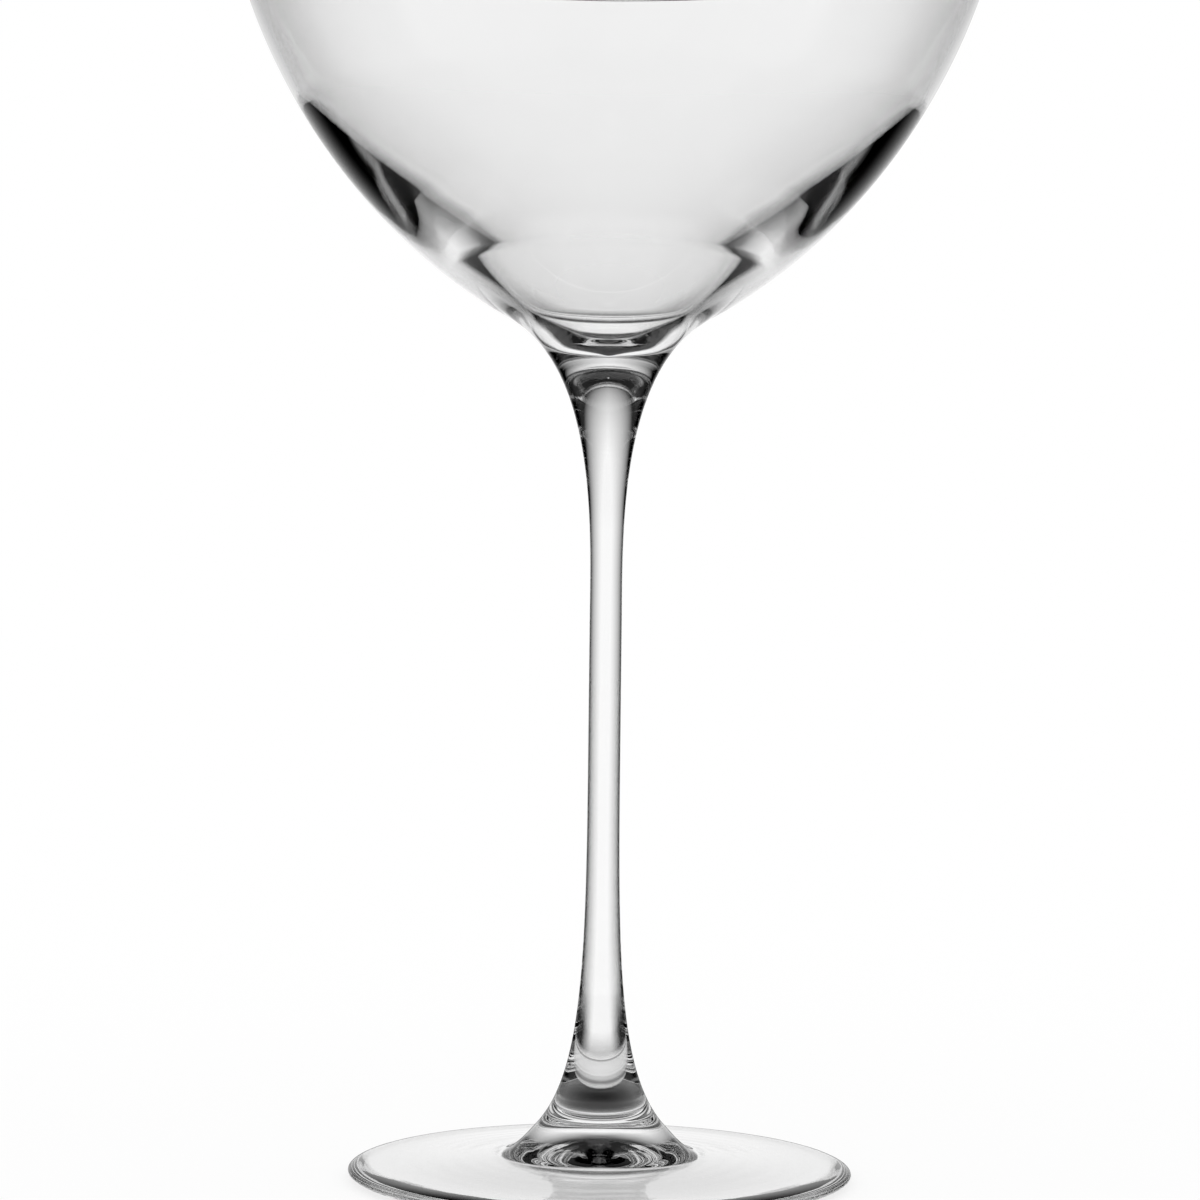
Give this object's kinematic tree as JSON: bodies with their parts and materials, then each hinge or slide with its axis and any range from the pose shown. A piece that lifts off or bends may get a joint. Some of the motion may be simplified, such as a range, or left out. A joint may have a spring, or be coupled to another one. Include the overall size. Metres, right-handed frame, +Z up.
{
  "type": "cocktail coupe",
  "caption": "Stemmed cocktail coupe: a wide, deep glass bowl with a thick round base, on a slim drawn stem that flares into a flat round foot.",
  "frame": {"origin": "centre of the foot's resting ring, on the surface the glass stands on", "axes": "+Z up along the axis of the bowl, stem and foot; X and Y are alike, because every piece is turned about Z"},
  "size_m": [0.1108, 0.1108, 0.18],
  "materials": {
    "bowl_glass": "blown clear glass, fire-polished",
    "stem_glass": "drawn clear glass, fire-polished",
    "foot_glass": "pressed clear glass, fire-polished"
  },
  "bodies": {
    "root": {"bowl": "bowl_glass", "stem": "stem_glass", "foot": "foot_glass"}
  },
  "joints": []
}
